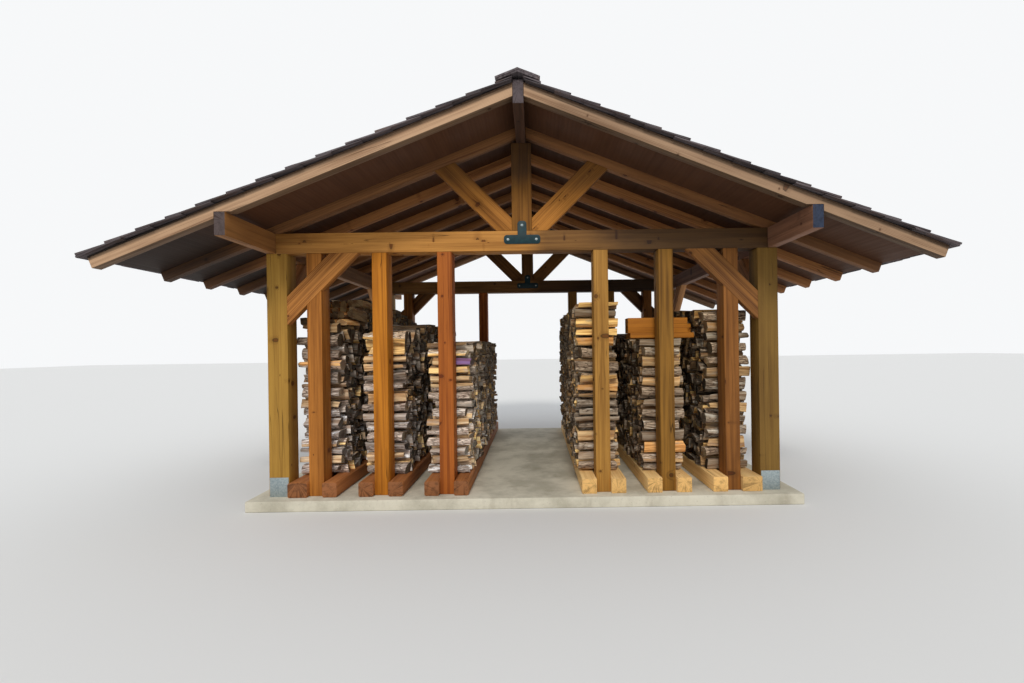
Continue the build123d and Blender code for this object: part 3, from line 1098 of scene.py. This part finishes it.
# %% The six stacks
BEND = 0.016
WAVES_ALONG = 3.2
WAVES_ACROSS = 5
STACKS_APART = 9
END_CLEAR = 0.002
RAIL_CLEAR = 0.001
RAGGED = (0.002, 0.1, 0.03)
END_COLUMN = 0.075
FACET = math.radians(38)
FIELDS = {"grain": "vector", "tint": "color", "cast": "color", "tone": "value", "bark": "value",
          "end_face": "value"}
RACK_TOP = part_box("rack_rails_left")[1].z


def stack_mesh(name, store, fit):
    """Bends the gathered logs by one smooth field, and writes their numbers on the mesh."""
    mesh = bpy.data.meshes.new(name)
    mesh.from_pydata([fit(Vector(p)) for p in store["at"]], [], store["faces"])
    add_fields(mesh, **FIELDS)
    for key, kind in FIELDS.items():
        flat = store[key] if kind == "value" else [v for item in store[key] for v in item]
        mesh.attributes[key].data.foreach_set(kind, flat)
    mesh.shade_smooth()
    mesh.set_sharp_from_angle(angle=FACET)
    mesh.validate()
    return mesh


for number, (front_row, tops) in enumerate(zip(FRONT_LOGS, STACK_TOPS), 1):
    dice = random.Random(100 + number)
    low_corner, high_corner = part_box(f"firewood_{number}")
    front, rear = low_corner.y + END_CLEAR, high_corner.y - END_CLEAR
    low = RACK_TOP + RAIL_CLEAR
    middles = log_middles(front, rear, low, tops, front_row, dice)
    store = {key: [] for key in ("at", "faces", *FIELDS)}
    for middle, look, shape in log_cells(middles, front, rear, low, tops, dice):
        outer = -1 if middle.x < front + END_COLUMN else 1 if middle.x > rear - END_COLUMN else None
        if number == 1 and middle.x < front + JUMBLE_DEPTH and middle.y > JUMBLE_LOW:
            continue
        section, facing = log_shape(middle, look, shape, dice, outer)
        tint = tint_of(look, dice.uniform(0.8, 1.15))
        ends = (low_corner.x + dice.triangular(*RAGGED), high_corner.x - dice.triangular(*RAGGED))
        spread = {"tint": tint, "cast": cast_of(number, look, middle.y, dice), "tone": dice.random()}
        first = len(store["at"])
        add_log(store, section, ends, spread, facing, middle, 5 if outer else 2, dice)
        if look == "V":
            for i in range(first, len(store["at"])):
                if store["at"][i][0] < sum(ends) / 2:
                    store["tint"][i] = colour(*LOOKS["T"])
    if number == 1:
        add_jumble(store, front, low_corner, high_corner, dice)

    def fit(spot):
        deep, high = spot.y * WAVES_ACROSS, spot.z * WAVES_ACROSS + number * STACKS_APART
        bend = noise.noise_vector(Vector((spot.x * WAVES_ALONG, deep, high))) * BEND
        spot += Vector((bend.x * 0.5, bend.y, bend.z))
        x = min(max(spot.x, low_corner.x), high_corner.x)
        return (x, min(max(spot.y, front), rear), max(spot.z, low))

    mesh = stack_mesh(f"firewood_stack_{number}", store, fit)
    dress(mesh.name, mesh, split_logs, "firewood", f"firewood_{number}")
    print(mesh.name, "logs:", len(middles), "triangles:", triangle_count(mesh))

# %% [markdown]
# The four saddles under the corner posts are bent galvanised sheet, pale and a little blue.
# The tee plates at the feet of the king posts are cut from plate and powder coated nearly
# black. Their shapes are right as packed, so they are copied like the timbers, but with only a
# hair of an eased edge, which is what makes sheet metal catch the light.

# %% Steel finishes


def galvanised_finish():
    """Zinc grows in crystals, which a slow cell pattern shows as pale and dull patches."""
    net = Finish("galvanised_sheet", Metallic=0.6)
    at = net.place()
    shade, _, _ = net.parts(net.cells(at, 90)["Color"], "ShaderNodeSeparateColor")
    cloud = net.noise(at, 9, 3.0)
    base = net.blend(shade * 0.45 + cloud * 0.5, colour(176, 186, 186), colour(122, 136, 142))
    return net.surface(base, shade * 0.2 + 0.36, cloud, 0.0004)


def powder_finish():
    """Powder coat has a fine orange-peel surface and a soft shine."""
    net = Finish("dark_powder_coat", Specular_IOR_Level=0.25)
    at = net.place()
    dust = net.noise(at, 22, 4.0, 0.6)
    base = net.blend(net.ease(dust, 0.4, 0.75), colour(6, 41, 47), colour(15, 56, 62))
    return net.surface(base, dust * 0.2 + 0.34, net.noise(at, 900, 1.0), 0.0003)


galvanised = galvanised_finish()
saddles = dress("galvanised_post_bases", eased_copy("post_bases", 0.0012),
                galvanised, "galvanised_steel", "post_bases")
plates = dress("powder_coated_tee_plates", eased_copy("tee_plates", 0.001),
               powder_finish(), "black_steel", "tee_plates")
print("steel pieces:", saddles.name, plates.name)

# %% [markdown]
# The slab is plain poured concrete. Close up it has sand grains, small air holes, paler trowel
# clouds and tan stains where wet wood has stood. Grains and holes that small would cost far too
# much mesh, so all of that is one material, and only the rounded edge is shape.

# %% Concrete slab


def concrete_finish():
    """Cloudy concrete with stains, pale grains and pits."""
    net = Finish("poured_concrete", Specular_IOR_Level=0.25)
    at = net.place()
    sand = net.noise(at, 420, 2.0, 0.7)
    speckle = net.noise(at, 120, 3.0, 0.7)
    cloud = net.noise(at, 2.3, 5.0, 0.6)
    stain = net.noise(at, (4.2, 4.2, 1.26), 4.0, 0.65)
    pit = net.ease(net.cells(at, 46)["Distance"], 0.1, 0.2, 1.0, 0.0) * net.ease(speckle, 0.5, 0.62)
    base = net.blend(net.ease(cloud, 0.36, 0.66), colour(208, 202, 184), colour(174, 168, 150))
    base = net.blend(net.ease(stain, 0.52, 0.7, 0.0, 0.3), base, colour(138, 126, 106))
    base = net.blend(net.ease(speckle, 0.5, 0.8, 0.0, 0.35), base, colour(224, 219, 206))
    base = net.blend(pit * 0.6, base, colour(82, 74, 60))
    return net.surface(base, cloud * 0.15 + 0.8, speckle * 0.6 + sand * 0.3 - pit, 0.002)


slab = dress("poured_slab", eased_copy("slab", 0.009), concrete_finish(), "concrete", "slab")
print("slab faces:", len(slab.data.polygons))

# %% [markdown]
# Shakes, cap boards and bolts repeat by the dozen or the hundred. They could be copied in a
# loop, but Geometry Nodes keep the rule in one place with its sizes as named inputs. Each tree
# is built by a short function and ends in real geometry, and one helper runs it and hands back
# a plain mesh.

# %% A helper for Geometry Nodes


class Tree(Net):
    """A Geometry Nodes tree with named inputs."""

    def __init__(self, name, inputs):
        super().__init__(bpy.data.node_groups.new(name, "GeometryNodeTree"))
        face = self.tree.interface
        for key, value in inputs.items():
            kind = "NodeSocketInt" if isinstance(value, int) else "NodeSocketFloat"
            face.new_socket(key, in_out="INPUT", socket_type=kind)
        face.new_socket("Finish", in_out="INPUT", socket_type="NodeSocketMaterial")
        face.new_socket("Geometry", in_out="OUTPUT", socket_type="NodeSocketGeometry")
        self.values = inputs
        self.given = self.outs("NodeGroupInput")

    def geo(self, kind, **inputs):
        """A Geometry Nodes node. An underscore in an input's name stands for a space."""
        return self.out("GeometryNode" + kind, {key.replace("_", " "): v for key, v in inputs.items()})

    def random(self, low, high, seed):
        return self.out("FunctionNodeRandomValue", {2: low, 3: high, 8: seed}, 1, data_type="FLOAT")

    def store(self, geometry, name, value, kind="FLOAT"):
        inputs = {"Geometry": geometry, "Name": name, "Value": value}
        return self.out("GeometryNodeStoreNamedAttribute", inputs, data_type=kind, domain="POINT")

    def close(self, geometry):
        """Ends the tree with the material set."""
        coated = self.geo("SetMaterial", Geometry=geometry, Material=self.given["Finish"])
        self.add("NodeGroupOutput", {0: coated})

    def run(self, finish, **changes):
        """The tree's result as a plain mesh."""
        carrier = bpy.data.objects.new(self.tree.name, bpy.data.meshes.new(self.tree.name))
        bpy.context.scene.collection.objects.link(carrier)
        maker = carrier.modifiers.new("make", "NODES")
        maker.node_group = self.tree
        wanted = {**self.values, **changes, "Finish": finish}
        for item in self.tree.interface.items_tree:
            if item.in_out == "INPUT":
                maker[item.identifier] = wanted[item.name]
        bpy.context.view_layer.update()
        graph = bpy.context.evaluated_depsgraph_get()
        mesh = bpy.data.meshes.new_from_object(carrier.evaluated_get(graph))
        carrier.modifiers.clear()
        bpy.data.objects.remove(carrier)
        return mesh


print("geometry node helper ready")

# %% [markdown]
# A shake is a split board, thick at its lower edge. The roof repeats one rule: a course starts
# one exposure above the last, its shakes have uneven widths, and each lies on the two below.
# The tree works in the plane of the roof, with u down the slope, y along the ridge and w out
# of it. The two slopes differ only by their seed.

# %% The rule of the roof
shake_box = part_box("shakes_right")
BUTT_W = 0.036
EAVE_U = (shake_box[1].x - (DECK_W + BUTT_W) * math.sin(SLOPE_ANGLE)) / math.cos(SLOPE_ANGLE)
COURSES = 14
TOP_COURSE = 0.15
EXPOSURE = (EAVE_U - TOP_COURSE) / COURSES
print("apex", round(APEX_Z, 4), "eave", round(EAVE_U, 4), "exposure", round(EXPOSURE, 4))

# %% [markdown]
# One unit board serves both trees of the roof: its lower edge is at x = 0, its top at z = 0,
# and it thins towards its head. Splitting leaves grooves along the wood. They show against the
# sky at every butt, where bump would stay flat, so real displacement makes them.

# %% Split boards


def unit_board(tree, along, across):
    """A board of one metre each way, to be scaled, that thins towards its head."""
    cube = tree.geo("MeshCube", Size=(1.0, 1.0, 1.0), Vertices_X=along, Vertices_Y=across, Vertices_Z=2)
    moved = tree.geo("Transform", Geometry=cube, Translation=(-0.5, 0.0, -0.5))
    x, y, z = tree.parts(tree.geo("InputPosition"))
    thinned = tree.vector(x, y, z * (x * 0.62 + 1.0))
    return tree.geo("SetPosition", Geometry=moved, Position=thinned)


def split_surface(tree, boards, swap_axes=False):
    """Makes the boards real, lays their grain and sinks grooves along it."""
    real = tree.geo("RealizeInstances", Geometry=boards)
    at = tree.geo("InputPosition")
    if swap_axes:
        x, y, z = tree.parts(at)
        at = tree.vector(y, x, z)
    tone = tree.out("GeometryNodeInputNamedAttribute", {"Name": "tone"}, data_type="FLOAT")
    shift = tree.scaled(tree.vector(tone, tone, tone), 41, 17, 0)
    grain = tree.out("ShaderNodeVectorMath", {0: at, 1: shift}, operation="ADD")
    real = tree.store(real, "grain", grain, "FLOAT_VECTOR")
    dent = tree.ease(tree.noise(grain, (3, 46, 0), 3.0, 0.6), 0.35, 0.75)
    sunk = tree.vector(0.0, 0.0, dent * tree.given["Groove"] * -1.0)
    _, _, facing = tree.parts(tree.geo("InputNormal"))
    above = tree.sum("GREATER_THAN", facing, 0.35)
    return tree.geo("SetPosition", Geometry=real, Selection=above, Offset=sunk)


def close_on_slope(tree, geometry):
    """Takes the boards from the plane of the roof to a slope: the right one, then turned about
    the middle."""
    give = tree.given
    lean = tree.vector(0.0, give["Angle"])
    lift = tree.vector(0.0, 0.0, give["Apex"])
    pitched = tree.geo("Transform", Geometry=geometry, Translation=lift, Rotation=lean)
    turn = tree.vector(0.0, 0.0, give["Turn"])
    tree.close(tree.geo("Transform", Geometry=pitched, Rotation=turn))


def lapped(tree, points, spot, tilt_run, starter):
    """Points at their places, with a tone each, and the tilt that one board needs to lie on the
    next. A starter lies flat on the deck."""
    give = tree.given
    placed = tree.geo("SetPosition", Geometry=points, Position=spot)
    placed = tree.store(placed, "tone", tree.random(0.0, 1.0, give["Seed"] + 3))
    tilt = tree.sum("ARCTANGENT", give["Thickness"] / tilt_run) * -1.0
    return placed, tilt.toward(0.0, starter)


print("split boards ready")

# %% [markdown]
# On the real roof no two shakes are equally wide. Their widths come from one random number
# each, and a running sum of those gives every shake its place in its course, so the gaps never
# line up. The first course, at the eave, is a starter that lies flat under the second.

# %% Shake tree


def shake_tree():
    """All the shakes of one slope, the starter course first."""
    tree = Tree("split_shakes", {
        "Courses": COURSES + 2, "Shakes": 34, "Exposure": EXPOSURE, "Eave": EAVE_U,
        "Half run": shake_box[1].y, "Butt": BUTT_W, "Deck": DECK_W, "Thickness": 0.017,
        "Length": EXPOSURE * 1.5, "Gap": 0.005, "Ragged": 0.016, "Uneven": 0.003,
        "Groove": 0.004, "Angle": SLOPE_ANGLE, "Apex": APEX_Z, "Turn": 0.0, "Seed": 1,
    })
    give = tree.given
    points = tree.geo("Points", Count=give["Courses"] * give["Shakes"])
    course = tree.sum("FLOOR", tree.geo("InputIndex") / give["Shakes"])
    width = tree.random(0.5, 1.5, give["Seed"])
    running = tree.outs("GeometryNodeAccumulateField", {"Value": width, "Group ID": course})
    unit = give["Half run"] * 2.0 / running["Total"]
    y = (running["Leading"] - width * 0.5) * unit - give["Half run"]
    ragged = tree.random(0.0, 1.0, give["Seed"] + 5) * give["Ragged"]
    lower = give["Eave"] - tree.sum("MAXIMUM", course - 1.0, 0.0) * give["Exposure"] - ragged
    starter = tree.sum("LESS_THAN", course, 0.5)
    uneven = tree.random(0.0, 1.0, give["Seed"] + 9) * give["Uneven"]
    top = give["Deck"] + give["Butt"].toward(give["Thickness"], starter) - uneven
    placed, tilt = lapped(tree, points, tree.vector(lower, y, top), give["Exposure"], starter)
    skew = tree.random(-0.008, 0.008, give["Seed"] + 7)
    length = tree.sum("MINIMUM", give["Length"], lower)
    size = tree.vector(length, width * unit - give["Gap"], give["Thickness"])
    boards = tree.geo("InstanceOnPoints", Points=placed, Instance=unit_board(tree, 7, 6),
                      Rotation=tree.vector(0.0, tilt, skew), Scale=size)
    close_on_slope(tree, split_surface(tree, boards))
    return tree


print("shake tree ready")

# %% [markdown]
# Old cedar has gone grey in the sun and nearly black where it stays damp. The finish reads the
# grain that the tree wrote on every board, so its fibres run up each shake whatever way it
# lies. One tree makes both slopes, and the second is turned half round with another seed.

# %% Shakes of both slopes


def shake_finish():
    """Old cedar: nearly black where it stays damp, silver on the ridges, brown in fresh splits."""
    net = Finish("weathered_shakes", Specular_IOR_Level=0.25)
    grain = net.read("grain", "Vector")
    fibre = net.noise(grain, (6, 190, 60), 4.0, 0.65)
    band = net.noise(grain, (2, 34, 20), 3.0, 0.6)
    cloud = net.noise(grain, 3.4, 4.0, 0.6)
    base = net.blend(net.ease(band, 0.34, 0.68), colour(66, 58, 60), colour(104, 96, 98))
    base = net.blend(net.ease(fibre, 0.42, 0.72, 0.0, 0.55), base, colour(38, 32, 34))
    base = net.blend(net.ease(cloud, 0.48, 0.7, 0.0, 0.5), base, colour(88, 66, 52))
    base = net.tinted(base, net.read("tone") * 0.6 + 0.68)
    return net.surface(base, band * 0.2 + 0.72, band + fibre * 0.6, 0.003)


weathered_shakes = shake_finish()
shakes = shake_tree()
for side, turn, seed in (("right", 0.0, 4), ("left", math.pi, 23)):
    mesh = shakes.run(weathered_shakes, Turn=turn, Seed=seed)
    dress(f"split_shakes_{side}", mesh, weathered_shakes, "split_shake", f"shakes_{side}")
    print("shakes", side, "triangles:", triangle_count(mesh))

# %% [markdown]
# The ridge is closed with pairs of the same split boards, laid along it and lapped like the
# shakes, from each gable to the middle. The two boards of a pair meet at the peak. One slope's
# boards are made, then the same tree turned half round makes the other's.

# %% Ridge cap tree
cap_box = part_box("ridge_cap")
CAP_W = DECK_W + BUTT_W
CAP_LOWER = (cap_box[1].x - CAP_W * math.sin(SLOPE_ANGLE)) / math.cos(SLOPE_ANGLE)
CAP_T = (cap_box[1].z - APEX_Z) * math.cos(SLOPE_ANGLE) - CAP_W
PEAK_U = -(CAP_W + CAP_T) * math.tan(SLOPE_ANGLE)


def cap_tree():
    """The boards of one side of the ridge, from both gables to the middle."""
    tree = Tree("ridge_boards", {
        "Laps": 11, "Half run": cap_box[1].y - 0.002, "Lower": CAP_LOWER, "Peak": PEAK_U,
        "Height": CAP_W + CAP_T, "Thickness": CAP_T / 2, "Groove": 0.003,
        "Ragged": 0.009, "Angle": SLOPE_ANGLE, "Apex": APEX_Z, "Turn": 0.0, "Seed": 1,
    })
    give = tree.given
    rows = give["Laps"] + 1.0
    index = tree.geo("InputIndex")
    row = tree.sum("FLOORED_MODULO", index, rows)
    sign = tree.sum("FLOOR", index / rows) * 2.0 - 1.0
    starter = tree.sum("LESS_THAN", row, 0.5)
    exposure = give["Half run"] / give["Laps"]
    ragged = tree.random(0.0, 1.0, give["Seed"] + 5) * give["Ragged"]
    step = tree.sum("MAXIMUM", row - 1.0, 0.0)
    from_middle = give["Half run"] - ragged - step * exposure
    outer = give["Lower"] - ragged
    top = give["Height"].toward(give["Height"] - give["Thickness"], starter)
    spot = tree.vector((give["Peak"] + outer) * 0.5, from_middle * sign, top)
    placed, tilt = lapped(tree, tree.geo("Points", Count=rows * 2.0), spot, exposure, starter)
    length = tree.sum("MINIMUM", exposure * 1.6, from_middle)
    size = tree.vector(length, outer - give["Peak"], give["Thickness"])
    boards = tree.geo("InstanceOnPoints", Points=placed, Instance=unit_board(tree, 8, 6),
                      Rotation=tree.vector(0.0, tilt, sign * (math.pi / 2)), Scale=size)
    close_on_slope(tree, split_surface(tree, boards, swap_axes=True))
    return tree


cap = cap_tree()
halves = bmesh.new()
for turn, seed in ((0.0, 3), (math.pi, 8)):
    halves.from_mesh(cap.run(weathered_shakes, Turn=turn, Seed=seed))
cap_mesh = bpy.data.meshes.new("ridge_boards")
halves.to_mesh(cap_mesh)
halves.free()
dress("split_ridge_boards", cap_mesh, weathered_shakes, "split_shake", "ridge_cap")
print("ridge boards, triangles:", triangle_count(cap_mesh))

# %% [markdown]
# Each tee plate is held by three bolts, two on the bar and one on the leg. A hexagon head on a
# round washer is modelled once and set on twelve points, which one index counts through:
# three places on a plate, two faces of a truss and two trusses.

# %% Bolt tree
plate_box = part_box("tee_plates")
tie_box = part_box("tie_beam_front")


def bolt_tree():
    """Twelve bolt heads on their washers."""
    tree = Tree("plate_bolts", {
        "Reach": 0.135, "Bar height": tie_box[1].z - 0.084, "Leg height": tie_box[1].z + 0.05,
        "Outer face": plate_box[1].y, "Inner face": -tie_box[1].y - 0.006,
        "Washer": 0.0125, "Washer depth": 0.0025, "Head": 0.0098, "Head depth": 0.0065,
    })
    give = tree.given
    index = tree.geo("InputIndex")
    place = tree.sum("FLOORED_MODULO", index, 3.0) - 1.0
    plate = tree.sum("FLOOR", index / 3.0)
    inner = tree.sum("FLOORED_MODULO", plate, 2.0)
    rear = tree.sum("FLOOR", plate / 2.0) * 2.0 - 1.0
    depth = rear * give["Outer face"].toward(give["Inner face"], inner)
    height = give["Leg height"].toward(give["Bar height"], abs(place))
    spot = tree.vector(place * give["Reach"], depth, height)
    placed = tree.geo("SetPosition", Geometry=tree.geo("Points", Count=12), Position=spot)
    washer = tree.geo("MeshCylinder", Vertices=20, Radius=give["Washer"], Depth=give["Washer depth"])
    half = tree.vector(0.0, 0.0, give["Washer depth"] * 0.5)
    washer = tree.geo("Transform", Geometry=washer, Translation=half)
    head = tree.geo("MeshCone", Vertices=6, Side_Segments=1, Radius_Top=give["Head"] * 0.9,
                    Radius_Bottom=give["Head"], Depth=give["Head depth"])
    head = tree.geo("Transform", Geometry=head, Translation=tree.vector(0.0, 0.0, give["Washer depth"]))
    both = tree.add("GeometryNodeJoinGeometry", {0: washer})
    tree.tree.links.new(head.socket, both.inputs[0])
    lean = tree.vector(rear * (inner * -2.0 + 1.0) * (-math.pi / 2))
    bolts = tree.geo("InstanceOnPoints", Points=placed, Instance=Value(tree, both.outputs[0]),
                     Rotation=lean)
    tree.close(tree.geo("RealizeInstances", Geometry=bolts))
    return tree


bolts = bolt_tree().run(galvanised)
dress("tee_plate_bolts", bolts, galvanised, "galvanised_steel")
print("bolts, faces:", len(bolts.polygons))

# %% [markdown]
# The camera stands where the photo was taken, 1.5 m up and 4.7 m in front of the truss. Its
# tilt and its off-centre axis come from the lines of the frame.

# %% Camera
PHOTO_W, PHOTO_H = 1024, 683
FOCAL_PX = 490.43
AXIS_PX = (537.24, 348.67)
EYE = (0.1088, -6.5101, 1.4827)
YAW, PITCH, ROLL = -0.00445, -0.00105, 0.01380

lens = bpy.data.cameras.new("camera")
lens.sensor_width = 36
lens.lens = FOCAL_PX * lens.sensor_width / PHOTO_W
lens.shift_x = 0.5 - AXIS_PX[0] / PHOTO_W
lens.shift_y = (AXIS_PX[1] - PHOTO_H / 2) / PHOTO_W
lens.clip_start = 0.05
lens.clip_end = 200
camera = bpy.data.objects.new("camera", lens)
bpy.context.scene.collection.objects.link(camera)
turned = Matrix.Rotation(YAW, 3, "Z") @ Matrix.Rotation(PITCH, 3, "X") @ Matrix.Rotation(ROLL, 3, "Y")
upright = Matrix.Rotation(math.pi / 2, 3, "X")
camera.matrix_world = Matrix.Translation(EYE) @ (turned @ upright).to_4x4()
bpy.context.scene.camera = camera
print("lens:", round(lens.lens, 2), "mm")

# %% [markdown]
# A plain pale floor takes the shadow, and an even sky with one soft high lamp lights the
# store, so that colours come out about as they are written. What the camera sees of the sky
# is paler than the light that it gives.

# %% Floor and light
FLOOR_HALF = 60
floor_mesh = bpy.data.meshes.new("floor")
corners = [(x * FLOOR_HALF, y * FLOOR_HALF, 0) for x, y in ((-1, -1), (1, -1), (1, 1), (-1, 1))]
floor_mesh.from_pydata(corners, [], [(0, 1, 2, 3)])
floor = bpy.data.objects.new("floor", floor_mesh)
bpy.context.scene.collection.objects.link(floor)
floor_mesh.materials.append(Finish("pale_floor", Roughness=0.9, Base_Color=(0.72, 0.72, 0.71, 1)).made)

world = bpy.data.worlds.new("sky")
bpy.context.scene.world = world
world.use_nodes = True
sky = Net(world.node_tree)
backdrop = world.node_tree.nodes["Background"]
backdrop.inputs["Color"].default_value = (0.93, 0.96, 1.0, 1)
backdrop.inputs["Strength"].default_value = 0.8
plain = sky.out("ShaderNodeBackground", {"Color": (0.93, 0.94, 0.95, 1), "Strength": 1.0})
ray = sky.outs("ShaderNodeLightPath")
seen = sky.sum("MAXIMUM", ray["Is Camera Ray"], ray["Is Glossy Ray"])
seen = sky.sum("MAXIMUM", seen, ray["Is Transmission Ray"])
light = sky.add("ShaderNodeMixShader", {0: seen, 1: Value(sky, backdrop.outputs[0]), 2: plain})
world.node_tree.links.new(light.outputs[0], world.node_tree.nodes["World Output"].inputs[0])

sun = bpy.data.lights.new("high_lamp", "SUN")
sun.energy = 1.5
sun.angle = math.radians(14)
sun.color = (1.0, 0.96, 0.9)
lamp = bpy.data.objects.new("high_lamp", sun)
bpy.context.scene.collection.objects.link(lamp)
lamp.rotation_euler = (math.radians(52), 0, 0)
bpy.context.scene.view_settings.view_transform = "Standard"
print("stage ready")
